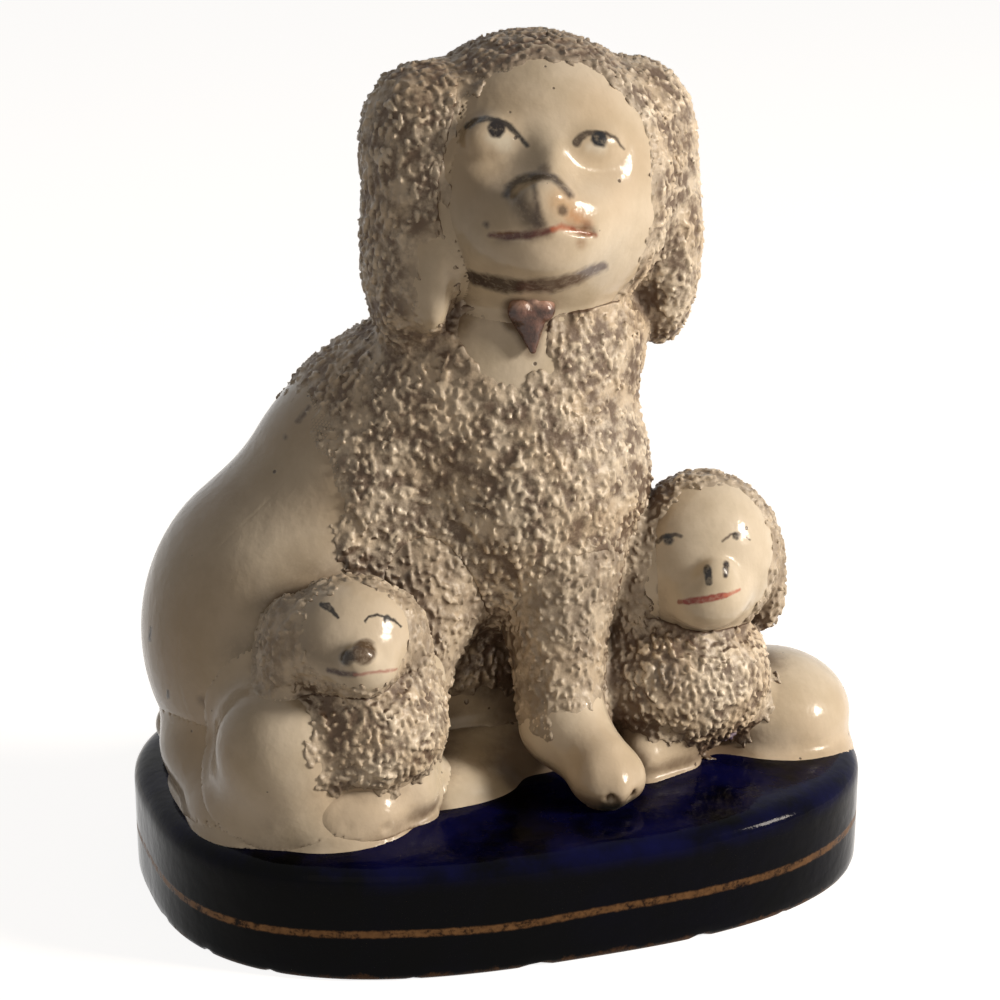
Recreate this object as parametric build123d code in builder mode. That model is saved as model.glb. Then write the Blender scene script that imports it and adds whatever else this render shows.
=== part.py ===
from build123d import *
from collections import namedtuple
from copy import deepcopy
from math import asin, cos, pi, sin
import os

os.makedirs("parts", exist_ok=True)

# A spaniel sits on an oval plinth with two puppies at its feet. Every piece is
# press-moulded or rolled clay, stuck to its neighbour with a film of slip.
# X runs to the viewer's right, -Y faces the viewer, the plinth stands on z = 0.

# Joints, walls and the crust of shredded clay
slip = 0.12
coat_thickness = 0.9
figure_wall = 3.0
overrun = 5.0

# Plinth: hollow oval stand, a little wider at its shoulder than at its foot
plinth_length = 75.0
plinth_depth = 55.0
plinth_wall_height = 9.9
plinth_shoulder_radius = 1.8
plinth_crown_rise = 0.9
plinth_crown_slope = 12.0
plinth_foot_inset = 0.6
plinth_wall = 3.5
plinth_squareness = 2.67
shoulder_steps = 3
outline_points = 24

# Slab that closes the plinth from below, with the hole that lets the kiln air out
floor_thickness = 3.2
floor_recess = 0.4
vent_bore = 5.0

# How deep the group is on its plinth: it keeps its own proportions
group_depth = 0.7333 * plinth_length

# Pad of clay that the group sits on: a broad mound with a low lobe at each end, in
# shares of the group's half length and half depth
pad_height = 4.0
pad_lobe_height = 2.6
pad_slope = 3.5
pad_mound_share = (0.747, 0.475)
pad_mound_place_share = (-0.16, 0.036, 0.0)
pad_lobe_shares = {
    "left": ((-0.70, -0.31, 0.0), (0.285, 0.40)),
    "right": ((0.62, -0.06, 0.0), (0.32, 0.36)),
}

# Mother's trunk: swelling rolls for the rump, the back, the belly, and the chest with its neck
rump_low_radius = 0.20533 * plinth_length
rump_high_radius = 0.974 * rump_low_radius
back_low_radius = 0.8312 * rump_low_radius
withers_radius = 0.6688 * rump_low_radius
chest_radius = 0.7403 * rump_low_radius
neck_radius = 0.6234 * rump_low_radius
belly_back_radius = 0.6104 * rump_low_radius
belly_front_radius = 0.5714 * rump_low_radius
rump_low_share = (-0.547, 0.109, 0.773)
rump_high_share = (0.03, 0.0, 0.32)
back_low_share = (0.32, -0.03, 0.71)
withers_share = (1.04, -0.23, 1.59)
chest_share = (1.45, -0.45, 0.91)
neck_share = (0.0, 0.05, 1.45)
belly_back_share = (0.75, -0.07, -0.1)
belly_front_share = (1.43, -0.13, 0.0)

# Mother's head and ears
skull_radius = 0.8896 * rump_low_radius
muzzle_root_radius = 0.3571 * rump_low_radius
muzzle_tip_radius = 0.3247 * rump_low_radius
ear_root_radius = 0.2857 * rump_low_radius
ear_lobe_radius = 0.3182 * rump_low_radius
skull_share = (-0.03, 0.09, 1.82)
skull_breadth_share = (0.12, 0.0, 0.0)
muzzle_root_share = (-0.03, -0.47, -0.15)
muzzle_tip_share = (-0.14, -0.86, -0.19)
right_ear_root_share = (-0.89, -0.11, 0.33)
right_ear_lobe_share = (-0.91, -0.11, -0.73)
left_ear_root_share = (1.01, 0.04, 0.18)
left_ear_lobe_share = (1.06, 0.04, -0.91)

# Places left smooth: the mother's face and the bib below her collar
face_low_radius = 0.7013 * rump_low_radius
face_high_radius = 0.6494 * rump_low_radius
bib_low_radius = 0.3377 * rump_low_radius
bib_high_radius = 0.3247 * rump_low_radius
face_low_share = (-0.07, -0.91, -0.47)
face_high_share = (-0.03, -0.84, 0.26)
bib_low_share = (-0.56, -1.0, 0.47)
bib_high_share = (-0.51, -1.0, 0.83)

# Heart-shaped locket pressed on below the collar
locket_width = 0.2727 * rump_low_radius
locket_height = 0.3377 * rump_low_radius
locket_proud = 0.9
locket_place_share = (-0.21, -0.81, 0.52)
locket_lobe_share = 0.5

# Mother's forelegs, hind feet and tail
foreleg_top_radius = 0.3312 * rump_low_radius
foreleg_wrist_radius = 0.2403 * rump_low_radius
paw_heel_radius = 0.2727 * rump_low_radius
paw_toe_radius = 0.2338 * rump_low_radius
hind_heel_radius = 0.2922 * rump_low_radius
hind_toe_radius = 0.2597 * rump_low_radius
tail_root_radius = 0.1948 * rump_low_radius
tail_tip_radius = 0.1429 * rump_low_radius
right_foreleg_top_share = (-1.26, -0.35, -0.22)
right_foreleg_wrist_share = (-0.387, -0.4, 0.605)
left_foreleg_top_share = (0.15, -0.44, -0.13)
left_foreleg_wrist_share = (0.035, -0.473, 1.43)
left_paw_heel_share = (0.059, -0.491, 0.884)
left_paw_toe_share = (0.123, -0.709, 0.639)
right_hind_heel_share = (-0.827, -0.364, 0.29)
right_hind_toe_share = (-0.507, -0.636, 0.2)
left_hind_heel_share = (-0.373, 0.545, 0.3)
left_hind_toe_share = (-0.107, 0.636, 0.3)
tail_root_share = (-0.88, 0.3, 0.75)
tail_tip_share = (-0.64, 0.636, 0.55)

# Where the crust of the mane ends: a slanting edge behind the shoulder, a level hem below
mane_edge_share = (-2.21, 0.0, 0.31)
mane_edge_slope = 0.33
mane_hem_share = (0.0, 0.0, -1.22)

# Main tufts of the mane: lumps of shredded clay a little prouder than the rest, in rows
# round the chest and neck
tuft_radius = 0.117 * rump_low_radius
tuft_sink = 0.045 * rump_low_radius
tuft_levels = (0.12, 0.5, 0.88)
tuft_turns = (-150, -118, -86, -54, -22, 10)
tuft_step_turn = 16

# Puppies: one at the viewer's left, one at the viewer's right, their radii in shares of
# the mother's rump
puppy_radius_shares = {
    "left_puppy": {
        "chest": (0.4026, 0.3831), "rump": (0.4026, 0.3896), "head": (0.3636, 0.3636),
        "muzzle": (0.1883, 0.1623), "ear": (0.1558, 0.1753), "face": (0.2987, 0.2857),
        "paw": (0.1558, 0.1299),
    },
    "right_puppy": {
        "chest": (0.4935, 0.4935), "rump": (0.4286, 0.4156), "head": (0.5, 0.5),
        "muzzle": (0.2208, 0.2078), "ear": (0.1948, 0.2143), "face": (0.4026, 0.3766),
        "paw": (0.1818, 0.1558),
    },
}
puppy_place_shares = {
    "left_puppy": (-0.48, -0.527, 0.98),
    "right_puppy": (0.381, -0.345, 0.97),
}
puppy_shares = {
    "left_puppy": {
        "chest": ((0, 0, 0), (0, 0, 0.77)), "rump": ((-1.37, 0.4, -0.03), (-1.34, 0.4, 0.45)),
        "head": ((-0.45, -0.08, 2.1), (-0.19, -0.08, 2.1)),
        "muzzle": ((0.18, -0.54, -0.25), (0.2, -0.95, -0.3)),
        "right_ear": ((-0.93, 0.32, 0.23), (-0.98, 0.32, -0.62)),
        "left_ear": ((1.18, 0.04, 0.16), (1.23, 0.04, -0.62)),
        "face": ((0.04, -0.9, -0.3), (0.1, -0.9, 0.14)),
        "paw": ((0.61, -0.32, -0.48), (0.81, -0.94, -0.73)),
    },
    "right_puppy": {
        "chest": ((0, 0, 0), (0.58, 0, 0.05)), "rump": ((1.74, 0.33, -0.71), (2.04, 0.79, -0.76)),
        "head": ((0.58, 0.07, 1.71), (0.58, 0.07, 1.89)),
        "muzzle": ((-0.12, -0.58, -0.23), (-0.18, -0.88, -0.26)),
        "right_ear": ((-0.94, -0.04, 0.34), (-1.0, -0.04, -0.65)),
        "left_ear": ((0.94, 0.19, 0.26), (1.0, 0.19, -0.7)),
        "face": ((-0.18, -0.91, -0.19), (-0.09, -0.84, 0.32)),
        "paw": ((-0.32, -0.59, -0.75), (-0.58, -1.07, -0.83)),
    },
}

Roll = namedtuple("Roll", "start start_radius end end_radius")


def off(centre, radius, share):
    # a place near a round end of another roll, in shares of its radius
    return tuple(middle + part * radius for middle, part in zip(centre, share))


def standing(share, radius):
    # a place over the plinth, lifted by a share of the radius of what stands there
    return (
        share[0] * plinth_length / 2,
        share[1] * group_depth / 2,
        plinth_top + share[2] * radius,
    )


def rolled(roll, grow=0.0, mode=Mode.ADD):
    # a tapered roll of clay with round ends, grown evenly outward or inward
    start = Vector(*roll.start)
    along = Vector(*roll.end) - start
    length = along.length
    r1 = roll.start_radius + grow
    r2 = roll.end_radius + grow
    lean = asin((r1 - r2) / length)
    low = (lean - pi / 2) / 2
    high = (lean + pi / 2) / 2
    run = Plane(origin=start, z_dir=along)
    with BuildSketch(Plane(origin=start, x_dir=run.x_dir, z_dir=-run.y_dir)) as profile:
        with BuildLine():
            root = (0, -r1)
            side_start = (r1 * cos(lean), r1 * sin(lean))
            side_end = (r2 * cos(lean), length + r2 * sin(lean))
            tip = (0, length + r2)
            ThreePointArc(root, (r1 * cos(low), r1 * sin(low)), side_start)
            Line(side_start, side_end)
            ThreePointArc(side_end, (r2 * cos(high), length + r2 * sin(high)), tip)
            Line(tip, root)
        make_face()
    revolve(profiles=profile.sketch, axis=Axis(start, along), mode=mode)


def plinth_outline(level, inset):
    # the oval, fuller at its corners than an ellipse
    reach_x = plinth_length / 2 - inset
    reach_y = plinth_depth / 2 - inset
    power = 2 / plinth_squareness
    ring = []
    for step in range(outline_points):
        turn = 2 * pi * step / outline_points
        ring.append((
            reach_x * abs(cos(turn)) ** power * (1 if cos(turn) >= 0 else -1),
            reach_y * abs(sin(turn)) ** power * (1 if sin(turn) >= 0 else -1),
        ))
    with BuildSketch(Plane.XY.offset(level)) as oval:
        with BuildLine():
            Spline(*ring, periodic=True)
        make_face()
    return oval.sketch


def plinth_block(inset=0.0, foot_level=0.0, mode=Mode.ADD):
    # wall with its taper, the rounded shoulder, then the slightly raised crown
    ovals = [plinth_outline(foot_level, plinth_foot_inset + inset)]
    for step in range(shoulder_steps + 1):
        turn = pi / 2 * step / shoulder_steps
        ovals.append(plinth_outline(
            plinth_wall_height - inset + plinth_shoulder_radius * sin(turn),
            inset + plinth_shoulder_radius * (1 - cos(turn)),
        ))
    ovals.append(plinth_outline(plinth_top - inset, inset + plinth_crown_slope))
    loft(ovals, ruled=True, mode=mode)


def mound(place_share, reach_share, height, grow):
    # a low oval heap, sunk into the crown
    middle = standing(place_share, 0)
    levels = ((plinth_wall_height, 0.0), (plinth_top, 0.0), (plinth_top + height + grow, pad_slope))
    ovals = []
    for level, inset in levels:
        reach_x = reach_share[0] * plinth_length / 2 - inset + grow
        reach_y = reach_share[1] * group_depth / 2 - inset + grow
        with BuildSketch(Plane(origin=(middle[0], middle[1], level))) as oval:
            Ellipse(reach_x, reach_y)
        ovals.append(oval.sketch)
    loft(ovals, ruled=True)


def pad_block(grow=0.0):
    mound(pad_mound_place_share, pad_mound_share, pad_height, grow)
    for place_share, reach_share in pad_lobe_shares.values():
        mound(place_share, reach_share, pad_lobe_height, grow)


plinth_top = plinth_wall_height + plinth_shoulder_radius + plinth_crown_rise

rump_low = standing(rump_low_share, rump_low_radius)
rump = Roll(
    rump_low, rump_low_radius,
    off(rump_low, rump_low_radius, rump_high_share), rump_high_radius,
)
back = Roll(
    off(rump_low, rump_low_radius, back_low_share), back_low_radius,
    off(rump_low, rump_low_radius, withers_share), withers_radius,
)
chest_middle = off(rump_low, rump_low_radius, chest_share)
neck_middle = off(chest_middle, chest_radius, neck_share)
chest = Roll(chest_middle, chest_radius, neck_middle, neck_radius)
belly = Roll(
    off(rump_low, rump_low_radius, belly_back_share), belly_back_radius,
    off(rump_low, rump_low_radius, belly_front_share), belly_front_radius,
)
trunk = (rump, back, chest, belly)

skull_middle = off(neck_middle, neck_radius, skull_share)


def on_skull(low_share, low_radius, high_share, high_radius):
    return Roll(
        off(skull_middle, skull_radius, low_share), low_radius,
        off(skull_middle, skull_radius, high_share), high_radius,
    )


skull = on_skull((0, 0, 0), skull_radius, skull_breadth_share, skull_radius)
muzzle = on_skull(muzzle_root_share, muzzle_root_radius, muzzle_tip_share, muzzle_tip_radius)
face = on_skull(face_low_share, face_low_radius, face_high_share, face_high_radius)
ears = {
    "right": on_skull(right_ear_root_share, ear_root_radius, right_ear_lobe_share, ear_lobe_radius),
    "left": on_skull(left_ear_root_share, ear_root_radius, left_ear_lobe_share, ear_lobe_radius),
}
bib = Roll(
    off(neck_middle, neck_radius, bib_low_share), bib_low_radius,
    off(neck_middle, neck_radius, bib_high_share), bib_high_radius,
)


def foreleg(top_share, wrist_share):
    return Roll(
        off(chest_middle, chest_radius, top_share), foreleg_top_radius,
        standing(wrist_share, foreleg_wrist_radius), foreleg_wrist_radius,
    )


def laid(start_share, start_radius, end_share, end_radius):
    return Roll(
        standing(start_share, start_radius), start_radius,
        standing(end_share, end_radius), end_radius,
    )


forelegs = {
    "right": foreleg(right_foreleg_top_share, right_foreleg_wrist_share),
    "left": foreleg(left_foreleg_top_share, left_foreleg_wrist_share),
}
left_paw = laid(left_paw_heel_share, paw_heel_radius, left_paw_toe_share, paw_toe_radius)
hind_feet = {
    "right": laid(right_hind_heel_share, hind_heel_radius, right_hind_toe_share, hind_toe_radius),
    "left": laid(left_hind_heel_share, hind_heel_radius, left_hind_toe_share, hind_toe_radius),
}
tail = laid(tail_root_share, tail_root_radius, tail_tip_share, tail_tip_radius)

# Seats: the shapes that later pieces are trimmed to, each a film of slip away
with BuildPart() as ground_seat:
    plinth_block(-slip)
    pad_block(slip)

with BuildPart() as trunk_seat:
    for form in trunk:
        rolled(form, slip)

with BuildPart() as trunk_coat_seat:
    for form in trunk:
        rolled(form, coat_thickness + slip)

with BuildPart() as head_seat:
    rolled(skull, slip)
    rolled(muzzle, slip)

with BuildPart() as ears_seat:
    for ear in ears.values():
        rolled(ear, slip)

with BuildPart() as forelegs_seat:
    for leg in forelegs.values():
        rolled(leg, slip)
    rolled(left_paw, slip)

with BuildPart() as forelegs_coat_seat:
    for leg in forelegs.values():
        rolled(leg, coat_thickness + slip)
    rolled(left_paw, coat_thickness + slip)

with BuildPart() as feet_seat:
    for foot in hind_feet.values():
        rolled(foot, slip)
    rolled(tail, slip)


def cut(*seats):
    for seat in seats:
        add(deepcopy(seat.part), mode=Mode.SUBTRACT)


finished = []


def finish(piece, name):
    piece.part.label = name
    export_step(piece.part, f"parts/{name}.step")
    finished.append(piece.part)
    print(name, round(piece.part.volume))


# Plinth shell: pressed over a mould, open below, with the glaze line round its foot
with BuildPart() as plinth_shell:
    plinth_block()
    plinth_block(plinth_wall, -overrun, Mode.SUBTRACT)
finish(plinth_shell, "plinth_shell")

# Floor slab: set up inside the foot rim so that the rim alone touches the shelf
with BuildPart() as plinth_floor:
    extrude(plinth_outline(floor_recess, plinth_foot_inset + plinth_wall + slip), amount=floor_thickness)
    with Locations((0, 0, floor_recess)):
        Hole(vent_bore / 2)
finish(plinth_floor, "plinth_floor")

# Ground pad: soft clay laid on the crown of the plinth
with BuildPart() as ground_pad:
    pad_block()
    plinth_block(-slip, mode=Mode.SUBTRACT)
finish(ground_pad, "ground_pad")

# Mother's hollow trunk, pressed in two halves that meet at a vertical seam
with BuildPart() as trunk_hollow:
    for form in trunk:
        rolled(form, -figure_wall)

with BuildPart() as trunk_shell:
    for form in trunk:
        rolled(form)
    cut(trunk_hollow)
    cut(ground_seat)

body_seam = Plane.XZ.offset(-chest_middle[1])
with BuildPart() as mother_body_front:
    add(trunk_shell.part)
    split(bisect_by=body_seam, keep=Keep.TOP)
finish(mother_body_front, "mother_body_front")

with BuildPart() as mother_body_back:
    add(trunk_shell.part)
    split(bisect_by=body_seam, keep=Keep.BOTTOM)
finish(mother_body_back, "mother_body_back")

# Mother's hollow head, pressed in two halves and set on the neck
with BuildPart() as head_shell:
    rolled(skull)
    rolled(muzzle)
    rolled(skull, -figure_wall, Mode.SUBTRACT)
    cut(trunk_seat)

head_seam = Plane.XZ.offset(-skull_middle[1])
with BuildPart() as mother_head_front:
    add(head_shell.part)
    split(bisect_by=head_seam, keep=Keep.TOP)
finish(mother_head_front, "mother_head_front")

with BuildPart() as mother_head_back:
    add(head_shell.part)
    split(bisect_by=head_seam, keep=Keep.BOTTOM)
finish(mother_head_back, "mother_head_back")

# Mother's ears: two pressed lobes that hang from the crown of the head
for side, ear in ears.items():
    with BuildPart() as mother_ear:
        rolled(ear)
        cut(head_seat)
        cut(trunk_coat_seat)
    finish(mother_ear, f"mother_ear_{side}")

# Mother's forelegs: solid rolls, the left one with its paw reaching forward
for side, leg in forelegs.items():
    with BuildPart() as mother_foreleg:
        rolled(leg)
        if side == "left":
            rolled(left_paw)
        cut(trunk_seat)
        cut(ground_seat)
    finish(mother_foreleg, f"mother_foreleg_{side}")

# Mother's hind feet and tail: rolls laid round the rump
for side, foot in hind_feet.items():
    with BuildPart() as mother_hind_foot:
        rolled(foot)
        cut(trunk_seat)
        cut(ground_seat)
        cut(forelegs_seat)
    finish(mother_hind_foot, f"mother_hind_foot_{side}")

with BuildPart() as mother_tail:
    rolled(tail)
    cut(trunk_seat)
    cut(ground_seat)
finish(mother_tail, "mother_tail")

# Locket: a heart-shaped sprig lying on the bib
locket_place = off(neck_middle, neck_radius, locket_place_share)
bib_face = Plane(origin=locket_place, x_dir=(1, 0, 0), z_dir=locket_place_share)
with BuildPart() as mother_locket:
    with BuildSketch(bib_face.offset(locket_proud)):
        lobe = locket_width * locket_lobe_share / 2
        with Locations((-lobe, 0), (lobe, 0)):
            Circle(lobe)
        with BuildLine():
            Polyline((-2 * lobe, 0), (0, -locket_height + lobe), (2 * lobe, 0), close=True)
        make_face()
    extrude(amount=-locket_proud - overrun / 2)
    cut(trunk_seat)
    cut(head_seat)
finish(mother_locket, "mother_locket")

# Crust of shredded clay on the mother's head, ears, mane and forelegs
with BuildPart() as mother_cap_coat:
    rolled(skull, coat_thickness)
    rolled(face, mode=Mode.SUBTRACT)
    cut(trunk_coat_seat)
    cut(ears_seat, head_seat)
finish(mother_cap_coat, "mother_cap_coat")

for side, ear in ears.items():
    with BuildPart() as mother_ear_coat:
        rolled(ear, coat_thickness)
        rolled(skull, coat_thickness + slip, Mode.SUBTRACT)
        cut(trunk_coat_seat)
        rolled(ear, slip, Mode.SUBTRACT)
    finish(mother_ear_coat, f"mother_ear_{side}_coat")

mane_edge = Plane(
    origin=off(chest_middle, chest_radius, mane_edge_share), z_dir=(1, 0, -mane_edge_slope)
)
mane_hem = Plane(origin=off(chest_middle, chest_radius, mane_hem_share))


def tuft(row, turn):
    # a short upright lump on the crust of the chest roll
    level = tuft_levels[row]
    girth = chest_radius + (neck_radius - chest_radius) * level + coat_thickness - tuft_sink
    angle = (turn + tuft_step_turn * (row % 2)) * pi / 180
    foot = [low + (high - low) * level for low, high in zip(chest_middle, neck_middle)]
    middle = (foot[0] + girth * cos(angle), foot[1] + girth * sin(angle), foot[2])
    return Roll(
        off(middle, tuft_radius, (0, 0, -0.5)), tuft_radius,
        off(middle, tuft_radius, (0, 0, 0.5)), tuft_radius,
    )


with BuildPart() as mother_mane_coat:
    for form in trunk:
        rolled(form, coat_thickness)
    for row in range(len(tuft_levels)):
        for turn in tuft_turns:
            rolled(tuft(row, turn))
    split(bisect_by=mane_edge, keep=Keep.TOP)
    split(bisect_by=mane_hem, keep=Keep.TOP)
    rolled(bib, mode=Mode.SUBTRACT)
    cut(head_seat)
    cut(forelegs_seat)
    cut(trunk_seat)
finish(mother_mane_coat, "mother_mane_coat")

for side, leg in forelegs.items():
    with BuildPart() as mother_foreleg_coat:
        rolled(leg, coat_thickness)
        cut(trunk_coat_seat)
        cut(ground_seat)
        cut(feet_seat)
        rolled(left_paw, slip, Mode.SUBTRACT)
        rolled(leg, slip, Mode.SUBTRACT)
    finish(mother_foreleg_coat, f"mother_foreleg_{side}_coat")


# Puppies: solid bodies and heads, each with ears, a forepaw and its own crust
for puppy, radius_shares in puppy_radius_shares.items():
    radii = {
        form: tuple(share * rump_low_radius for share in pair)
        for form, pair in radius_shares.items()
    }
    shares = puppy_shares[puppy]
    breast = standing(puppy_place_shares[puppy], radii["chest"][0])

    def puppy_roll(name, middle, reach, radius_name=None):
        start_radius, end_radius = radii[radius_name or name]
        return Roll(
            off(middle, reach, shares[name][0]), start_radius,
            off(middle, reach, shares[name][1]), end_radius,
        )

    puppy_chest = puppy_roll("chest", breast, radii["chest"][0])
    puppy_rump = puppy_roll("rump", breast, radii["chest"][0])
    puppy_head = puppy_roll("head", breast, radii["chest"][0])
    puppy_paw = puppy_roll("paw", breast, radii["chest"][0])
    puppy_muzzle = puppy_roll("muzzle", puppy_head.start, puppy_head.start_radius)
    puppy_face = puppy_roll("face", puppy_head.start, puppy_head.start_radius)
    puppy_ears = {
        "right": puppy_roll("right_ear", puppy_head.start, puppy_head.start_radius, "ear"),
        "left": puppy_roll("left_ear", puppy_head.start, puppy_head.start_radius, "ear"),
    }

    with BuildPart() as puppy_body:
        rolled(puppy_chest)
        rolled(puppy_rump)
        cut(trunk_coat_seat, forelegs_coat_seat, feet_seat, ground_seat)
    finish(puppy_body, f"{puppy}_body")

    with BuildPart() as puppy_head_piece:
        rolled(puppy_head)
        rolled(puppy_muzzle)
        rolled(puppy_chest, slip, Mode.SUBTRACT)
        rolled(puppy_rump, slip, Mode.SUBTRACT)
        cut(trunk_coat_seat, forelegs_coat_seat, feet_seat, ground_seat)
    finish(puppy_head_piece, f"{puppy}_head")

    for side, ear in puppy_ears.items():
        with BuildPart() as puppy_ear:
            rolled(ear)
            rolled(puppy_head, slip, Mode.SUBTRACT)
            rolled(puppy_chest, coat_thickness + slip, Mode.SUBTRACT)
            rolled(puppy_rump, slip, Mode.SUBTRACT)
            cut(trunk_coat_seat, forelegs_coat_seat, feet_seat, ground_seat)
        finish(puppy_ear, f"{puppy}_ear_{side}")

    with BuildPart() as puppy_forepaw:
        rolled(puppy_paw)
        rolled(puppy_chest, slip, Mode.SUBTRACT)
        cut(trunk_coat_seat, forelegs_coat_seat, feet_seat, ground_seat)
    finish(puppy_forepaw, f"{puppy}_forepaw")

    with BuildPart() as puppy_cap_coat:
        rolled(puppy_head, coat_thickness)
        rolled(puppy_face, mode=Mode.SUBTRACT)
        cut(trunk_coat_seat, forelegs_coat_seat, feet_seat, ground_seat)
        rolled(puppy_chest, coat_thickness + slip, Mode.SUBTRACT)
        rolled(puppy_rump, slip, Mode.SUBTRACT)
        for ear in puppy_ears.values():
            rolled(ear, slip, Mode.SUBTRACT)
        rolled(puppy_head, slip, Mode.SUBTRACT)
        add(puppy_cap_coat.part.solids().sort_by(SortBy.VOLUME)[-1], mode=Mode.REPLACE)
    finish(puppy_cap_coat, f"{puppy}_cap_coat")

    with BuildPart() as puppy_chest_coat:
        rolled(puppy_chest, coat_thickness)
        cut(trunk_coat_seat, forelegs_coat_seat, feet_seat, ground_seat)
        rolled(puppy_rump, slip, Mode.SUBTRACT)
        rolled(puppy_head, slip, Mode.SUBTRACT)
        rolled(puppy_muzzle, slip, Mode.SUBTRACT)
        rolled(puppy_paw, slip, Mode.SUBTRACT)
        rolled(puppy_chest, slip, Mode.SUBTRACT)
    finish(puppy_chest_coat, f"{puppy}_chest_coat")

group = Compound(children=finished)
print("overall", group.bounding_box().size)
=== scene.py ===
import math

import bpy
import numpy as np
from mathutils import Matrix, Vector


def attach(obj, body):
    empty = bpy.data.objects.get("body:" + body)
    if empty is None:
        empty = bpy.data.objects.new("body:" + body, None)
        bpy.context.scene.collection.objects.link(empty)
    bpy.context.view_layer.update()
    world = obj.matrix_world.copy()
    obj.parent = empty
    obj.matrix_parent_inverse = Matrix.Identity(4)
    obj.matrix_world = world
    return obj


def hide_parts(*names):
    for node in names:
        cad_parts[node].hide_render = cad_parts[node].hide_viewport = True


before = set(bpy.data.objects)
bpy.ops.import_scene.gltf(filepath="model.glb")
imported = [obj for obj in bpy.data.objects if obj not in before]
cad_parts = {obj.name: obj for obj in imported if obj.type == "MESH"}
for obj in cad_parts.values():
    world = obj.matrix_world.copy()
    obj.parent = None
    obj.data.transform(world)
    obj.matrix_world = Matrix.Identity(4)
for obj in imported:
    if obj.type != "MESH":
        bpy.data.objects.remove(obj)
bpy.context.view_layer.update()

# The table: the group stands on a pale floor and is lit from the right by a warm
# window, with a faint room lamp at the left and little light from elsewhere. The lens
# looks down at it a little, from the viewer's left.
mm = 0.001
camera_place = Vector((-87.76, -256.37, 126.86)) * mm
camera_target = Vector((0.274, -0.094, 38.69)) * mm
camera_data = bpy.data.cameras.new("camera")
camera_data.lens = 100.8
camera_data.sensor_width = 36.0
camera = bpy.data.objects.new("camera", camera_data)
camera.location = camera_place
camera.rotation_euler = (camera_target - camera_place).to_track_quat("-Z", "Y").to_euler()
bpy.context.scene.collection.objects.link(camera)
bpy.context.scene.camera = camera
bpy.context.scene.view_settings.view_transform = "Standard"
lit_height = 0.045


def lamp(name, place, width, height, watts, colour):
    data = bpy.data.lights.new(name, "AREA")
    data.shape = "RECTANGLE"
    data.size = width
    data.size_y = height
    data.energy = watts
    data.color = colour
    made = bpy.data.objects.new(name, data)
    made.location = place
    toward = Vector((0, 0, lit_height)) - made.location
    made.rotation_euler = toward.to_track_quat("-Z", "Y").to_euler()
    bpy.context.scene.collection.objects.link(made)


lamp("window", (0.40, -0.265, 0.21), 0.10, 0.12, 2.5, (1.0, 0.90, 0.78))
lamp("room", (-0.25, -0.48, 0.36), 0.40, 0.40, 0.18, (1.0, 0.83, 0.64))


class Recipe:
    # the nodes of one finish: a material's, the air's or a node group's
    def __init__(self, tree):
        self.tree = tree

    def add(self, kind, inputs=None, **settings):
        made = self.tree.nodes.new(kind)
        for key, value in settings.items():
            setattr(made, key, value)
        for key, value in (inputs or {}).items():
            if isinstance(value, bpy.types.NodeSocket):
                self.tree.links.new(value, made.inputs[key])
            else:
                made.inputs[key].default_value = value
        return made

    def calc(self, operation, *values, clamp=False):
        return self.add("ShaderNodeMath", dict(enumerate(values)), operation=operation,
                        use_clamp=clamp).outputs[0]

    def times(self, one, two):
        return self.calc("MULTIPLY", one, two)

    def plus(self, one, two):
        return self.calc("ADD", one, two)

    def minus(self, one, two):
        return self.calc("SUBTRACT", one, two)

    def larger(self, one, two):
        return self.calc("MAXIMUM", one, two)

    def vector(self, operation, *values, **named):
        inputs = {**dict(enumerate(values)), **named}
        return self.add("ShaderNodeVectorMath", inputs, operation=operation).outputs

    def place_in_mm(self):
        place = self.add("ShaderNodeTexCoord").outputs["Object"]
        return self.vector("SCALE", place, Scale=1 / mm)[0]

    def height_of(self, place):
        return self.add("ShaderNodeSeparateXYZ", {0: place}).outputs["Z"]

    def noted(self, name):
        return self.add("ShaderNodeAttribute", attribute_name=name).outputs["Fac"]

    def use_group(self, group, inputs):
        return self.add("ShaderNodeGroup", inputs, node_tree=group).outputs

    def paint_over(self, share, under, over):
        return self.add("ShaderNodeMix", {0: share, 6: under, 7: over},
                        data_type="RGBA").outputs[2]

    def ramp(self, value, start, end):
        return self.add("ShaderNodeMapRange", {
            "Value": value, "From Min": start, "From Max": end,
        }, interpolation_type="SMOOTHSTEP").outputs[0]

    def noise(self, place, scale, detail=3.0, roughness=0.55):
        return self.add("ShaderNodeTexNoise", {
            "Vector": place, "Scale": scale, "Detail": detail, "Roughness": roughness,
        }).outputs[0]

    def bumped(self, height, distance_mm):
        return self.add("ShaderNodeBump", {
            "Height": height, "Distance": distance_mm * mm, "Strength": 1.0,
        }).outputs[0]

    def fired(self, shade, roughness, normal, **more):
        # the last step of every glaze and clay
        shader = self.add("ShaderNodeBsdfPrincipled", {
            "Base Color": shade, "Roughness": roughness, "Normal": normal, **more})
        self.add("ShaderNodeOutputMaterial", {"Surface": shader.outputs[0]})

    def seen_directly(self):
        path = self.add("ShaderNodeLightPath").outputs
        seen = self.larger(path["Is Camera Ray"], path["Is Glossy Ray"])
        return self.larger(seen, path["Is Transmission Ray"])


def new_material(name):
    made = bpy.data.materials.new(name)
    made.use_nodes = True
    made.node_tree.nodes.clear()
    return made, Recipe(made.node_tree)


def new_group(name, sockets_in, sockets_out):
    tree = bpy.data.node_groups.new(name, "ShaderNodeTree")
    for label, value in sockets_in:
        kind = "NodeSocketVector" if isinstance(value, tuple) else "NodeSocketFloat"
        tree.interface.new_socket(label, in_out="INPUT", socket_type=kind).default_value = value
    for label in sockets_out:
        tree.interface.new_socket(label, in_out="OUTPUT", socket_type="NodeSocketFloat")
    recipe = Recipe(tree)
    return recipe, recipe.add("NodeGroupInput").outputs


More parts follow.
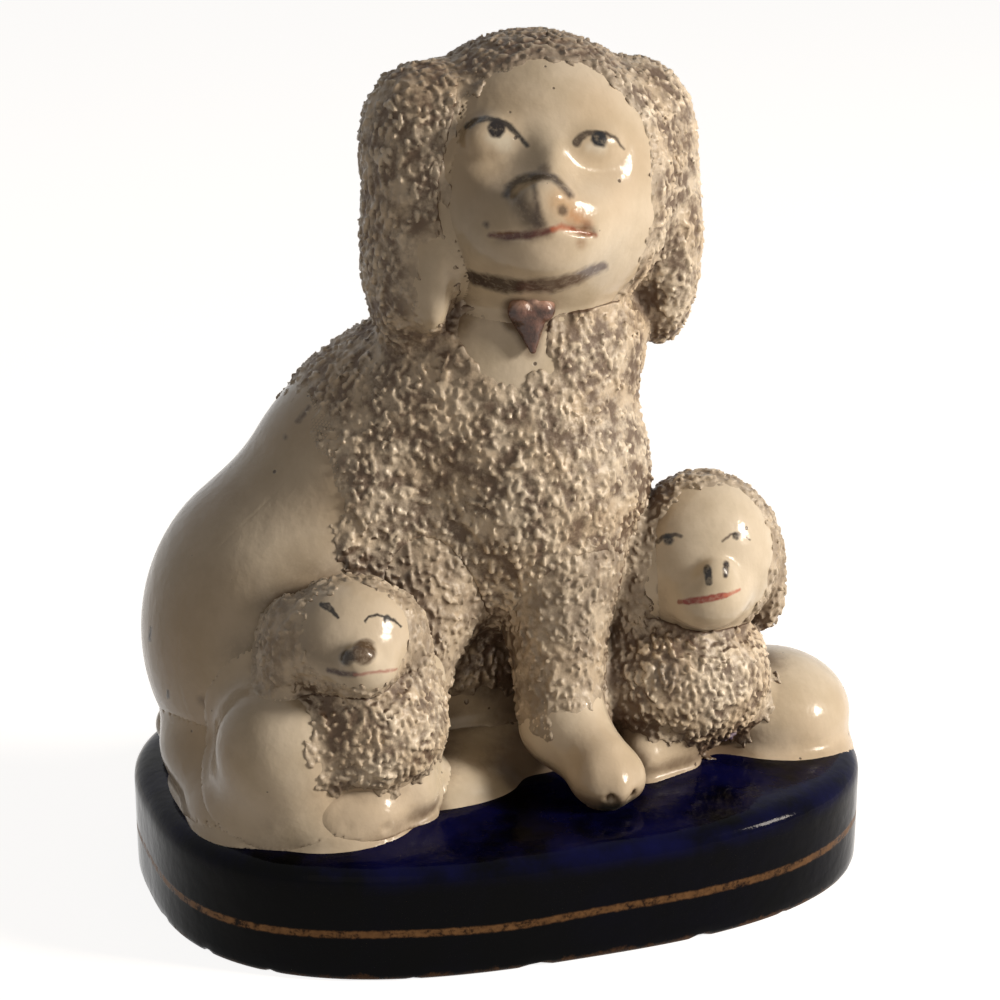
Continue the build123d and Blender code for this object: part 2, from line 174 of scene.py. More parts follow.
def colour(red, green, blue):
    # screen values to the linear values that a shader takes
    return tuple((v / 255 / 12.92 if v < 11 else ((v / 255 + 0.055) / 1.055) ** 2.4)
                 for v in (red, green, blue)) + (1,)


room_air = bpy.data.worlds.new("room_air")
bpy.context.scene.world = room_air
room_air.use_nodes = True
room_air.node_tree.nodes.clear()
air = Recipe(room_air.node_tree)
dim_air = air.add("ShaderNodeBackground", {"Color": (1.0, 0.82, 0.62, 1), "Strength": 0.07})
pale_air = air.add("ShaderNodeBackground", {"Color": (1, 1, 1, 1), "Strength": 1.0})
air_mix = air.add("ShaderNodeMixShader", {
    0: air.seen_directly(), 1: dim_air.outputs[0], 2: pale_air.outputs[0],
})
air.add("ShaderNodeOutputWorld", {"Surface": air_mix.outputs[0]})

table_white, matt = new_material("table_white")
table_matt = matt.add("ShaderNodeBsdfDiffuse", {"Color": (0.62, 0.58, 0.53, 1)})
table_glow = matt.add("ShaderNodeEmission", {
    "Color": (1, 1, 1, 1), "Strength": matt.times(matt.seen_directly(), 0.90),
})
table_sum = matt.add("ShaderNodeAddShader", {0: table_matt.outputs[0], 1: table_glow.outputs[0]})
matt.add("ShaderNodeOutputMaterial", {"Surface": table_sum.outputs[0]})


def new_piece(name, points, face_sets, material):
    # places come in millimetres, the object stays at the origin; each face set holds
    # faces with the same number of corners
    mesh = bpy.data.meshes.new(name)
    corners = np.concatenate([np.asarray(faces).ravel() for faces in face_sets])
    counts = np.concatenate([np.full(len(faces), len(faces[0])) for faces in face_sets])
    mesh.vertices.add(len(points))
    mesh.vertices.foreach_set("co", (np.asarray(points) * mm).astype(np.float32).ravel())
    mesh.loops.add(len(corners))
    mesh.loops.foreach_set("vertex_index", corners.astype(np.int32))
    mesh.polygons.add(len(counts))
    mesh.polygons.foreach_set("loop_start", (np.cumsum(counts) - counts).astype(np.int32))
    mesh.update(calc_edges=True)
    mesh.validate()
    mesh.polygons.foreach_set("use_smooth", np.ones(len(mesh.polygons), bool))
    mesh.materials.append(material)
    made = bpy.data.objects.new(name, mesh)
    bpy.context.scene.collection.objects.link(made)
    return made


table_half = 900.0
table_top = new_piece(
    "table_top",
    [(table_half * x, table_half * y, 0) for x, y in ((-1, -1), (1, -1), (1, 1), (-1, 1))],
    [[(0, 1, 2, 3)]], table_white,
)

# The plinth: a hollow oval stand of earthenware, pressed over a mould and fettled by
# hand. It is dipped in cobalt glaze that burnt nearly black, and banded with gilding
# that has worn thin.
plinth_half_length = 37.5
plinth_half_depth = 27.5
plinth_squareness = 2.67
ring_points = 288
chip_depth = 0.35
chipped_height = 0.8


def oval_ring(level, inset):
    turn = np.linspace(0, 2 * np.pi, ring_points, endpoint=False)
    power = 2 / plinth_squareness
    across = np.sign(np.cos(turn)) * np.abs(np.cos(turn)) ** power
    deep = np.sign(np.sin(turn)) * np.abs(np.sin(turn)) ** power
    # the hand that fettled it left the wall a little uneven, never beyond the mould
    uneven = 0.07 + 0.04 * np.sin(3 * turn + 0.7) + 0.03 * np.sin(7 * turn + 2.1)
    drift = uneven * min(1.0, level / 2.0)
    low = max(0.0, 1 - level / chipped_height)
    chips = low * chip_depth * np.clip(
        np.sin(23 * turn + 1.3) + np.sin(41 * turn) - 1.25, 0, 1)
    height = np.full(ring_points, level) + chips
    height += 0.05 * np.sin(5 * turn + 0.4) * min(1.0, level / 4.0)
    return np.stack([
        across * (plinth_half_length - inset - drift - chips),
        deep * (plinth_half_depth - inset - drift - chips),
        height,
    ], axis=1)


def lathed(profile):
    # faces between one ring and the next, closed by a fan at the middle of the last
    rings = [oval_ring(level, inset) for level, inset in profile]
    points = np.concatenate(rings + [np.array([(0, 0, profile[-1][0])])])
    step = np.arange(ring_points)
    after = (step + 1) % ring_points
    walls = []
    for lower in range(len(rings) - 1):
        base = lower * ring_points
        walls.append(np.stack([
            base + step, base + after, base + ring_points + after, base + ring_points + step,
        ], axis=1))
    last = (len(rings) - 1) * ring_points
    fan = np.stack([last + step, last + after, np.full(ring_points, len(points) - 1)], axis=1)
    return points, np.concatenate(walls), fan


# heights up the wall and over the crown, each with how far in from the widest oval
plinth_profile = [
    (8.0, 4.0), (3.6, 3.9), (0.5, 3.7), (0.0, 3.2), (0.0, 1.1), (0.12, 0.55), (0.4, 0.22),
    (0.8, 0.1), (1.6, 0.06), (2.6, 0.04), (3.8, 0.03), (5.0, 0.03), (6.4, 0.02), (7.8, 0.01),
    (9.0, 0.0), (9.9, 0.0), (10.45, 0.09), (10.9, 0.32), (11.3, 0.7), (11.6, 1.2),
]
crown_profile = [(11.8, 1.9), (11.95, 3.2), (12.1, 5.5), (12.3, 8.5), (12.5, 12.0), (12.6, 16.0)]
plinth_inside = [(8.0, 4.0), (9.0, 5.5), (9.1, 9.0), (9.1, 16.0)]


def glaze_group():
    # what age does to any glaze: cloudy patches, pinholes and a fine unevenness
    age, entry = new_group("aged_glaze", (
        ("Place", (0, 0, 0)), ("Patch size", 9.0), ("Pinholes", 0.5),
    ), ("Patches", "Pinholes", "Ripple"))
    patches = age.noise(entry["Place"], age.calc("DIVIDE", 1.0, entry["Patch size"]), 5.0, 0.6)
    holes = age.add("ShaderNodeTexVoronoi", {
        "Vector": entry["Place"], "Scale": 0.42, "Randomness": 1.0,
    })
    hole_size = age.times(
        age.add("ShaderNodeSeparateColor", {0: holes.outputs["Color"]}).outputs[0], 0.13)
    hole_edge = age.minus(holes.outputs["Distance"], age.minus(hole_size, 0.055))
    age.add("NodeGroupOutput", {
        "Patches": age.ramp(patches, 0.38, 0.68),
        "Pinholes": age.times(age.ramp(hole_edge, 0.035, -0.01), entry["Pinholes"]),
        "Ripple": age.noise(entry["Place"], 0.55, 3.0, 0.5),
    })
    return age.tree


aged_glaze = glaze_group()

cobalt, glaze = new_material("cobalt_glaze")
place = glaze.place_in_mm()
height = glaze.height_of(place)
age = glaze.use_group(aged_glaze, {"Place": place, "Patch size": 12.0})
shade = glaze.paint_over(age["Patches"], colour(3, 3, 5), colour(4, 4, 16))
# painted reflection: the cobalt turns bluer in patches over the shoulder and crown, from 8.8 mm
# up
upper_sheen = glaze.times(glaze.ramp(height, 8.8, 11.2), age["Patches"])
shade = glaze.paint_over(upper_sheen, shade, colour(12, 14, 66))
# the foot is worn through to the clay
foot_edge = glaze.plus(height, glaze.times(glaze.noise(place, 0.5, 6.0, 0.7), -2.6))
foot_wear = glaze.ramp(foot_edge, -0.5, -1.1)
shade = glaze.paint_over(foot_wear, shade, colour(86, 62, 44))
# the gilt band wanders a little and has worn off in places
band_middle = glaze.plus(glaze.times(glaze.noise(place, 0.035, 1.0), 1.6), 4.3)
band_distance = glaze.calc("ABSOLUTE", glaze.minus(height, band_middle))
band_edge = glaze.plus(band_distance, glaze.times(glaze.noise(place, 1.4, 4.0), 0.3))
band_worn = glaze.ramp(glaze.noise(place, 1.1, 6.0, 0.75), 0.30, 0.56)
band = glaze.times(glaze.ramp(band_edge, 0.66, 0.38), band_worn)
gilt = glaze.paint_over(glaze.noise(place, 0.8), colour(70, 48, 30), colour(124, 90, 58))
shade = glaze.paint_over(band, shade, gilt)
rough = glaze.plus(0.09, glaze.times(age["Patches"], 0.05))
rough = glaze.plus(rough, glaze.times(glaze.larger(band, foot_wear), 0.35))
glaze.fired(shade, rough, glaze.bumped(age["Ripple"], 0.06), **{
    "Metallic": glaze.times(band, 0.55), "Specular IOR Level": 0.05,
})

shell_points, shell_walls, shell_fan = lathed(plinth_profile + crown_profile)
under_points, under_walls, under_fan = lathed(plinth_inside)
plinth = new_piece(
    "plinth_fired", np.concatenate([shell_points, under_points]),
    [shell_walls, shell_fan, len(shell_points) + under_walls[:, ::-1],
     len(shell_points) + under_fan[:, ::-1]],
    cobalt,
)
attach(plinth, "root")
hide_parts("plinth_shell")

# The slab that closes the plinth from below is bare clay with the hole that let the
# kiln air out. It stays as the potter's plan has it and only gets its finish.
biscuit, clay_finish = new_material("bare_clay")
place = clay_finish.place_in_mm()
grain = clay_finish.noise(place, 2.5, 8.0, 0.7)
patch = clay_finish.ramp(clay_finish.noise(place, 0.09, 4.0), 0.35, 0.65)
shade = clay_finish.paint_over(patch, colour(196, 170, 138), colour(158, 126, 96))
specks = clay_finish.times(clay_finish.ramp(grain, 0.55, 0.75), 0.6)
shade = clay_finish.paint_over(specks, shade, colour(110, 84, 62))
clay_finish.fired(shade, 0.85, clay_finish.bumped(grain, 0.12))
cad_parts["plinth_floor"].data.materials.clear()
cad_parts["plinth_floor"].data.materials.append(biscuit)

# The ground pad: a low cushion of clay that the group is luted to with slip, glazed
# white like the group. Each form of clay is kept as a rule that says how deep any place
# lies inside it, so that forms flow into one another the way luted clay does.
class Clay:
    # depth(x, y, z) is negative inside, in millimetres; low and high are its corners
    def __init__(self, depth, low, high):
        self.depth = depth
        self.low = np.array(low, float)
        self.high = np.array(high, float)


def egg(centre, radii, lean=0.0):
    # an egg-shaped lump, leaning in the plane that the viewer sees
    turn = math.radians(lean)
    reach = np.array([
        math.hypot(radii[0] * math.cos(turn), radii[2] * math.sin(turn)), radii[1],
        math.hypot(radii[0] * math.sin(turn), radii[2] * math.cos(turn)),
    ])

    def depth(x, y, z):
        x, y, z = x - centre[0], y - centre[1], z - centre[2]
        if lean:
            x, z = (x * math.cos(turn) - z * math.sin(turn),
                    x * math.sin(turn) + z * math.cos(turn))
        near = (x / radii[0]) ** 2 + (y / radii[1]) ** 2 + (z / radii[2]) ** 2
        steep = (x / radii[0] ** 2) ** 2 + (y / radii[1] ** 2) ** 2 + (z / radii[2] ** 2) ** 2
        share = np.sqrt(near)
        return share * (share - 1) / np.sqrt(steep + 1e-9)

    return Clay(depth, np.array(centre) - reach, np.array(centre) + reach)


def roll(start, start_radius, end, end_radius):
    # a tapered roll with round ends
    start, end = np.array(start, float), np.array(end, float)
    along = end - start

    def depth(x, y, z):
        x, y, z = x - start[0], y - start[1], z - start[2]
        share = np.clip((x * along[0] + y * along[1] + z * along[2]) / (along @ along), 0, 1)
        gap = np.sqrt(
            (x - share * along[0]) ** 2 + (y - share * along[1]) ** 2
            + (z - share * along[2]) ** 2)
        return gap - (start_radius + (end_radius - start_radius) * share)

    return Clay(
        depth, np.minimum(start - start_radius, end - end_radius),
        np.maximum(start + start_radius, end + end_radius))


def luted(fillet, *lumps):
    # lumps stuck together, with a fillet of slip wiped into the crease
    def depth(x, y, z):
        total = lumps[0].depth(x, y, z)
        for lump in lumps[1:]:
            other = lump.depth(x, y, z)
            close = np.clip(1 - np.abs(total - other) / fillet, 0, None)
            total = np.minimum(total, other) - close * close * (fillet / 4)
        return total

    return Clay(
        depth, np.min([lump.low for lump in lumps], axis=0),
        np.max([lump.high for lump in lumps], axis=0))


def thumbed(lump, hollow, softness):
    # a hollow pressed into a lump with the thumb or a tool
    def depth(x, y, z):
        total = lump.depth(x, y, z)
        other = -hollow.depth(x, y, z)
        close = np.clip(1 - np.abs(total - other) / softness, 0, None)
        return np.maximum(total, other) + close * close * (softness / 4)

    return Clay(depth, lump.low, lump.high)


def lattice(low, high, cell):
    counts = np.ceil((np.array(high) - np.array(low)) / cell).astype(int) + 1
    return [
        (low[axis] + cell * np.arange(counts[axis])).astype(np.float32).reshape(
            [-1 if other == axis else 1 for other in range(3)])
        for axis in range(3)
    ]


def skinned(values, low, cell):
    # the skin where the values cross zero: one point for each cell that it passes
    # through, at the mean of its crossings, and one face for each edge that it crosses
    inside = values < 0
    cells = np.array(values.shape) - 1
    held = np.zeros(cells, np.int8)
    for corner in np.ndindex(2, 2, 2):
        held += inside[tuple(slice(c, c + n) for c, n in zip(corner, cells))]
    crossed = (held > 0) & (held < 8)
    at = np.argwhere(crossed)
    number = np.full(cells, -1, np.int32)
    number[crossed] = np.arange(len(at))
    total = np.zeros((len(at), 3))
    count = np.zeros(len(at))
    face_sets = []
    for axis in range(3):
        step = np.eye(3, dtype=int)[axis]
        others = [a for a in range(3) if a != axis]
        for shift in np.ndindex(2, 2):
            corner = np.zeros(3, int)
            corner[others] = shift
            first = at + corner
            one = values[tuple(first.T)]
            two = values[tuple((first + step).T)]
            cut = (one < 0) != (two < 0)
            part = one[cut] / (one[cut] - two[cut])
            total[cut] += corner + part[:, None] * step
            count[cut] += 1
        window = [slice(1, n) for n in cells]
        window[axis] = slice(0, cells[axis])
        ahead = list(window)
        ahead[axis] = slice(1, cells[axis] + 1)
        starts = inside[tuple(window)]
        edge = np.argwhere(starts != inside[tuple(ahead)])
        leaving = starts[tuple(edge.T)]
        edge[:, others] += 1
        u, v = np.eye(3, dtype=int)[others[0]], np.eye(3, dtype=int)[others[1]]
        quad = np.stack([
            number[tuple((edge - back).T)] for back in (u + v, v, 0 * u, u)
        ], axis=1)
        flip = leaving if axis != 1 else ~leaving
        quad[~flip] = quad[~flip][:, ::-1]
        face_sets.append(quad)
    points = np.array(low) + (at + total / count[:, None]) * cell
    return points, np.concatenate(face_sets)


clay_margin = 0.6
feather = 0.12
sunk = 0.3
seam_lap = 1.0
lap_slope = 0.15


def fitted(node, clay, material, cell=0.3):
    # a finished piece of clay: its skin as a mesh, in the place of its node
    low = clay.low - 2.5 * cell - clay_margin
    high = clay.high + 2.5 * cell + clay_margin
    x, y, z = lattice(low, high, cell)
    values = clay.depth(x, y, z)
    points, faces = skinned(np.broadcast_to(values, (x.size, y.size, z.size)), low, cell)
    return set_in_place(new_piece(node, points, [faces], material), node)


def set_in_place(piece, node):
    piece.name = f"{node}_fired"
    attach(piece, "root")
    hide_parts(node)
    return piece


def stuck_on(body, clay, fillet):
    # the clay that a new lump and its fillet add to a body, sunk a little into it; the
    # feather edge of the fillet dives under the body's skin, so no seam shows
    whole = luted(fillet, body, clay)

    def depth(x, y, z):
        old = body.depth(x, y, z)
        new = whole.depth(x, y, z)
        dive = feather * np.clip(1 - (old - new) / feather, 0, 1)
        return np.maximum(np.maximum(new + dive, -(old + sunk)), (new - old + 0.01) * 4)

    return Clay(depth, clay.low - fillet / 3, clay.high + fillet / 3), whole


def half_of(body, place, sign):
    # the half of a pressed form in front of or behind its seam, lapped under the other
    def depth(x, y, z):
        beyond = sign * (y - place)
        return np.maximum(
            body.depth(x, y, z) + lap_slope * np.clip(beyond, 0, None), beyond - seam_lap)

    low, high = body.low.copy(), body.high.copy()
    if sign > 0:
        high[1] = place + seam_lap
    else:
        low[1] = place - seam_lap
    return Clay(depth, low, high)


rim_radius = 1.9
glaze_thickness = 0.1
crown_insets = [inset for level, inset in crown_profile]
crown_levels = [level - glaze_thickness for level, inset in crown_profile]


def crown_depth(x, y, z):
    # the plinth's domed top with its rounded rim, a little below the glaze
    power = plinth_squareness
    share = ((np.abs(x) / plinth_half_length) ** power
             + (np.abs(y) / plinth_half_depth) ** power) ** (1 / power) + 1e-6
    inset = np.hypot(x, y) * (1 / share - 1)
    over = z - np.interp(inset, crown_insets, crown_levels) + rim_radius
    beyond = rim_radius - inset
    return (np.hypot(np.maximum(over, 0), np.maximum(beyond, 0))
            + np.minimum(np.maximum(over, beyond), 0) - rim_radius)


plinth_top = Clay(crown_depth, (-37, -27, 0), (37, 27, 12.6))
pad_lumps = luted(
    1.8, egg((-6.0, 1.0, 12.2), (28.0, 11.4, 4.7)), egg((-27.9, -8.0, 12.0), (6.8, 9.0, 3.4)),
    egg((-21.4, -12.6, 12.1), (8.4, 7.8, 3.9)), egg((-10.0, -10.2, 12.0), (8.4, 4.8, 3.4)),
    egg((23.0, -0.5, 12.2), (11.5, 8.2, 3.4)), egg((12.0, -8.6, 12.0), (6.5, 4.6, 3.0)))
pad_piece, ground = stuck_on(plinth_top, pad_lumps, 0.9)
cut_level = 9.5
pad_piece.low[2] = cut_level

# The mother's trunk: rump, back, chest and neck, pressed hollow in two halves that meet
# in a seam round her flanks. The clay is covered in a warm white glaze, with pinholes,
# tea-coloured dirt and painted shade in the hollows, and strokes of enamel.
def stroke_group():
    # how much of a brush stroke covers a place, for a straight stroke whose ends
    # have their own widths
    stroke, entry = new_group("brush_stroke", (
        ("Place", (0, 0, 0)), ("From", (0, 0, 0)), ("To", (0, 0, 1)),
        ("From width", 0.3), ("To width", 0.3), ("Softness", 0.12),
    ), ("Cover",))
    run = stroke.vector("SUBTRACT", entry["To"], entry["From"])[0]
    away = stroke.vector("SUBTRACT", entry["Place"], entry["From"])[0]
    ahead = stroke.vector("DOT_PRODUCT", away, run)["Value"]
    length = stroke.vector("DOT_PRODUCT", run, run)["Value"]
    share = stroke.calc("DIVIDE", ahead, stroke.larger(length, 0.0001), clamp=True)
    foot = stroke.vector("SCALE", run, Scale=share)[0]
    gap = stroke.vector("DISTANCE", away, foot)["Value"]
    width = stroke.add("ShaderNodeMapRange", {
        "Value": share, "To Min": entry["From width"], "To Max": entry["To width"],
    }).outputs[0]
    soft = entry["Softness"]
    cover = stroke.ramp(stroke.minus(gap, width), soft, stroke.times(soft, -1.0))
    stroke.add("NodeGroupOutput", {"Cover": cover})
    return stroke.tree


brush_stroke = stroke_group()
# from the clay toward the painter's eye, and how far the hand strays, mm
to_viewer = np.array((-0.309, -0.899, 0.309))
brush_shake = 0.35


def brushed(glaze, place, shade, strokes, nearest):
    # strokes are (colour, strength, softness, [(x, y, z, width), ...]) in the order
    # they were painted, each seen along the line that the painter looked along; nothing
    # is painted on clay that lies less than nearest millimetres toward the painter
    wander = glaze.add("ShaderNodeTexNoise", {
        "Vector": place, "Scale": 1.3, "Detail": 2.0}).outputs["Color"]
    wander = glaze.vector("SUBTRACT", wander, (0.5, 0.5, 0.5))[0]
    moved = glaze.vector("ADD", place, glaze.vector("SCALE", wander, Scale=brush_shake)[0])[0]
    ahead = glaze.vector("DOT_PRODUCT", moved, tuple(to_viewer))["Value"]
    back = glaze.vector("SCALE", tuple(to_viewer), Scale=ahead)[0]
    flat = glaze.vector("SUBTRACT", moved, back)[0]
    front = glaze.ramp(ahead, nearest, nearest + 1.0)
    streaks = glaze.ramp(glaze.noise(place, 1.7, 3.0, 0.6), 0.30, 0.55)
    worn = glaze.plus(glaze.times(streaks, 0.25), 0.75)
    for paint, strength, softness, path in strokes:
        cover = None
        if len(path) == 1:
            path = [path[0], path[0]]
        for first, second in zip(path, path[1:]):
            ends = [
                tuple(np.array(end[:3]) - to_viewer * (np.array(end[:3]) @ to_viewer))
                for end in (first, second)
            ]
            part = glaze.use_group(brush_stroke, {
                "Place": flat, "From": ends[0], "To": ends[1],
                "From width": first[3], "To width": second[3], "Softness": softness,
            })["Cover"]
            cover = part if cover is None else glaze.larger(cover, part)
        cover = glaze.times(glaze.times(glaze.times(cover, front), worn), strength)
        shade = glaze.paint_over(cover, shade, colour(*paint))
    return shade


def white_glaze(name, strokes=(), nearest=0.0):
    made, glaze = new_material(name)
    place = glaze.place_in_mm()
    age = glaze.use_group(aged_glaze, {"Place": place, "Patch size": 8.0, "Pinholes": 0.8})
    shade = glaze.paint_over(age["Patches"], colour(232, 219, 198), colour(213, 199, 175))
    warm = glaze.ramp(glaze.noise(place, 0.045, 2.0), 0.42, 0.62)
    shade = glaze.paint_over(glaze.times(warm, 0.4), shade, colour(203, 176, 142))
    # dirt in the hollows, and painted shade where the clay is shut in, darken the glaze
    hollow = glaze.larger(glaze.noted("hollow"), glaze.times(glaze.noted("shut_in"), 0.7))
    blotches = glaze.times(glaze.noise(place, 0.9, 5.0, 0.65), 0.35)
    grime_and_shade = glaze.ramp(glaze.plus(hollow, blotches), 0.42, 1.0)
    shade = glaze.paint_over(glaze.times(grime_and_shade, 0.75), shade, colour(92, 66, 44))
    shade = glaze.paint_over(age["Pinholes"], shade, colour(70, 50, 34))
    if strokes:
        shade = brushed(glaze, place, shade, strokes, nearest)
    rough = glaze.plus(0.17, glaze.times(grime_and_shade, 0.35))
    rough = glaze.plus(rough, glaze.times(age["Patches"], 0.06))
    height = glaze.minus(age["Ripple"], glaze.times(age["Pinholes"], 0.5))
    glaze.fired(shade, rough, glaze.bumped(height, 0.1), **{"Specular IOR Level": 0.3})
    return made


plain_white = white_glaze("white_glaze")
fitted("ground_pad", pad_piece, plain_white)

black = (34, 26, 20)
trunk_strokes = [
    # kiln specks on her back
    (black, 0.9, 0.16, [(-35.9, 1.2, 28.8, 0.14), (-36.1, 1.2, 27.6, 0.22)]),
    (black, 0.85, 0.14, [(-35.1, -1.8, 23.1, 0.12), (-35.1, -1.8, 22.4, 0.16)]),
    (black, 0.8, 0.14, [(-31.8, -7.0, 22.6, 0.16)]),
    ((110, 86, 62), 0.6, 0.5, [(-32.6, -6.0, 23.4, 0.4), (-31.6, -7.2, 22.5, 0.5)]),
    ((90, 66, 46), 0.8, 0.25, [(-22.6, -2.1, 48.2, 0.2)]),
    ((90, 66, 46), 0.8, 0.25, [(-21.6, -3.0, 50.0, 0.24), (-20.6, -3.4, 51.4, 0.2)]),
    # a soft olive-brown patch behind the left puppy, and painted shade between the forelegs
    ((84, 70, 44), 0.6, 2.6, [(-29.2, -9.0, 29.0, 1.2), (-25.9, -9.0, 29.6, 1.6)]),
    ((92, 72, 50), 0.5, 2.6, [(-26.6, -9.0, 34.2, 1.2), (-22.6, -9.0, 36.6, 1.4)]),
    ((52, 36, 28), 0.8, 2.2, [(-3.4, -8.0, 30.0, 2.6), (-3.9, -8.0, 22.6, 2.0)]),
]
face_strokes = [
    # upper lids, irises and the white below them, which is partly a painted highlight
    ((236, 230, 214), 0.7, 0.6, [(-3.9, -13.5, 78.2, 0.8), (-4.9, -12.8, 78.5, 0.5)]),
    ((240, 234, 220), 0.6, 0.5, [(5.1, -14.9, 77.3, 0.5), (4.1, -15.0, 77.5, 0.4)]),
    (black, 0.95, 0.16, [
        (-6.6, -11.0, 79.4, 0.38), (-6.0, -11.2, 79.9, 0.36), (-5.1, -11.7, 80.1, 0.3),
        (-4.2, -12.3, 80.0, 0.3), (-3.4, -12.9, 79.7, 0.3), (-2.7, -13.5, 79.0, 0.28),
        (-1.9, -14.2, 78.0, 0.19)]),
    ((34, 24, 18), 1.0, 0.2, [(-4.4, -12.6, 79.3, 0.84)]),
    ((62, 48, 36), 0.9, 0.16, [
        (2.7, -14.9, 78.0, 0.4), (3.2, -14.7, 78.4, 0.34), (3.9, -14.5, 78.7, 0.28),
        (4.7, -14.4, 78.7, 0.26), (5.8, -14.3, 78.5, 0.22), (6.7, -14.2, 78.1, 0.17),
        (7.7, -14.3, 77.0, 0.1)]),
    ((30, 30, 32), 1.0, 0.2, [(5.1, -14.6, 78.1, 0.78)]),
    # nose: a dark left side, a tan right side, the arched upper edge, the nostril and
    # the line to the lip
    ((84, 66, 44), 0.8, 0.8, [
        (-3.7, -15.6, 73.3, 0.4), (-3.2, -17.2, 72.4, 0.9), (-2.7, -18.2, 71.3, 0.8)]),
    ((188, 148, 102), 0.6, 0.9, [(0.0, -18, 73.0, 1.0), (1.8, -18, 71.6, 0.9)]),
    ((206, 140, 92), 0.5, 0.8, [(1.2, -18.2, 71.6, 0.5), (2.4, -18.2, 71.0, 0.5)]),
    ((62, 46, 32), 0.92, 0.34, [
        (-4.4, -15.5, 73.5, 0.3), (-3.9, -14.9, 74.1, 0.4), (-3.0, -14.9, 74.7, 0.46),
        (-2.1, -15.3, 75.0, 0.5), (-1.0, -15.8, 75.1, 0.5), (-0.1, -16.3, 75.0, 0.42),
        (0.4, -17.0, 74.5, 0.4), (1.0, -17.7, 73.6, 0.34)]),
    ((92, 70, 48), 0.75, 0.4, [(-0.6, -15.3, 75.7, 0.5)]),
    ((62, 44, 32), 0.85, 0.4, [
        (-2.0, -16.3, 74.3, 0.2), (-2.2, -17.6, 72.9, 0.3), (-2.3, -18.2, 71.6, 0.55),
        (-2.0, -18.3, 71.2, 0.5)]),
    ((84, 64, 44), 0.85, 0.3, [(0.1, -18.4, 72.4, 0.48)]),
    # mouth
    ((112, 84, 58), 0.65, 0.5, [(-2.8, -18.2, 70.1, 0.4), (-1.4, -18.7, 70.5, 0.4)]),
    ((102, 46, 36), 0.92, 0.24, [
        (-5.9, -15.2, 69.8, 0.2), (-5.1, -16.7, 70.0, 0.36), (-4.2, -17.6, 70.2, 0.38),
        (-3.1, -18.2, 70.3, 0.34), (-2.0, -18.6, 70.5, 0.28), (-1.0, -18.8, 70.8, 0.22)]),
    ((196, 112, 78), 0.85, 0.24, [
        (-1.0, -18.8, 70.8, 0.22), (-0.2, -18.9, 71.1, 0.24), (0.9, -18.9, 70.8, 0.22)]),
    ((150, 78, 46), 0.9, 0.22, [
        (0.9, -18.9, 70.8, 0.18), (2.0, -18.7, 70.3, 0.24), (3.4, -18.2, 69.9, 0.2)]),
    ((72, 50, 36), 0.85, 0.28, [(-6.0, -14.5, 70.6, 0.26)]),
    ((124, 86, 56), 0.7, 0.4, [(2.4, -18.7, 70.9, 0.5), (2.1, -18.7, 70.2, 0.3)]),
    ((150, 110, 76), 0.6, 0.4, [(1.8, -18.8, 69.4, 0.45)]),
]
collar_strokes = [
    ((60, 42, 34), 0.94, 0.26, [
        (-7.3, -11.2, 65.5, 0.4), (-6.1, -11.9, 65.0, 0.54), (-4.8, -12.6, 64.6, 0.6),
        (-3.5, -13.1, 64.3, 0.6), (-2.3, -13.5, 64.2, 0.5)]),
    ((84, 58, 46), 0.92, 0.26, [
        (-2.3, -13.5, 64.2, 0.42), (-0.7, -14.0, 64.3, 0.52), (-0.0, -15.7, 64.7, 0.54),
        (1.0, -16.3, 65.1, 0.5), (2.3, -16.4, 65.4, 0.46), (4.4, -14.7, 65.5, 0.4),
        (5.7, -14.7, 65.9, 0.34)]),
]
# enamel goes only on what faces the viewer; her strokes are too many for one glaze
front_only = 10.0
trunk_white = white_glaze("trunk_white_glaze", trunk_strokes + collar_strokes, front_only)
head_white = white_glaze("head_white_glaze", face_strokes + collar_strokes, front_only)

rump = egg((-20.5, 3.0, 26.5), (15.8, 15.0, 18.0))
back = egg((-11.8, 2.5, 41.3), (13.3, 12.0, 18.9), 40.0)
withers = egg((-4.5, -0.5, 50.0), (11.7, 10.2, 9.0))
chest = egg((1.6, -4.0, 42.0), (12.5, 10.6, 15.4))
neck = egg((1.9, -3.0, 55.6), (12.0, 8.8, 9.6))
belly = egg((-4.0, 3.6, 23.0), (14.5, 8.6, 16.0))
trunk_only = luted(3.0, rump, back, withers, chest, neck, belly)
trunk_piece, figure = stuck_on(ground, trunk_only, 1.6)
trunk_piece.low[2] = cut_level
body_seam = -4.0
for node, sign in (("mother_body_front", 1), ("mother_body_back", -1)):
    fitted(node, half_of(trunk_piece, body_seam, sign), trunk_white, cell=0.36)

# The mother's head: a round skull with a short muzzle, pressed in two halves and set on
# the neck. Brows, eyes, nose and lips stand only a little proud of the mould and are
# drawn with enamel.
skull = egg((2.4, -2.5, 71.8), (14.2, 12.9, 14.5))
muzzle = egg((-0.2, -13.6, 70.2), (6.2, 4.9, 5.2))
jaw = egg((-0.6, -14.6, 68.0), (4.2, 3.2, 2.4))
nose = egg((-1.6, -17.2, 73.2), (2.5, 1.7, 1.9))
head_plain = luted(1.4, luted(4.5, skull, muzzle), jaw, nose)
eye_hollows = luted(0.5, egg((-5.0, -15.1, 77.6), (3.6, 2.6, 2.6)),
                    egg((5.4, -16.8, 76.6), (3.6, 2.5, 2.4)))
eyeballs = (egg((-4.4, -11.4, 78.3), (2.6, 1.2, 1.7)),
            egg((5.1, -13.3, 77.2), (2.4, 1.2, 1.5)))
mouth_line = luted(
    0.3, roll((-5.6, -16.2, 69.8), 0.3, (-2.6, -18.6, 70.3), 0.35),
    roll((-2.6, -18.6, 70.3), 0.35, (-0.8, -19.0, 70.9), 0.3),
    roll((-0.8, -19.0, 70.9), 0.3, (3.2, -17.8, 70.0), 0.3))
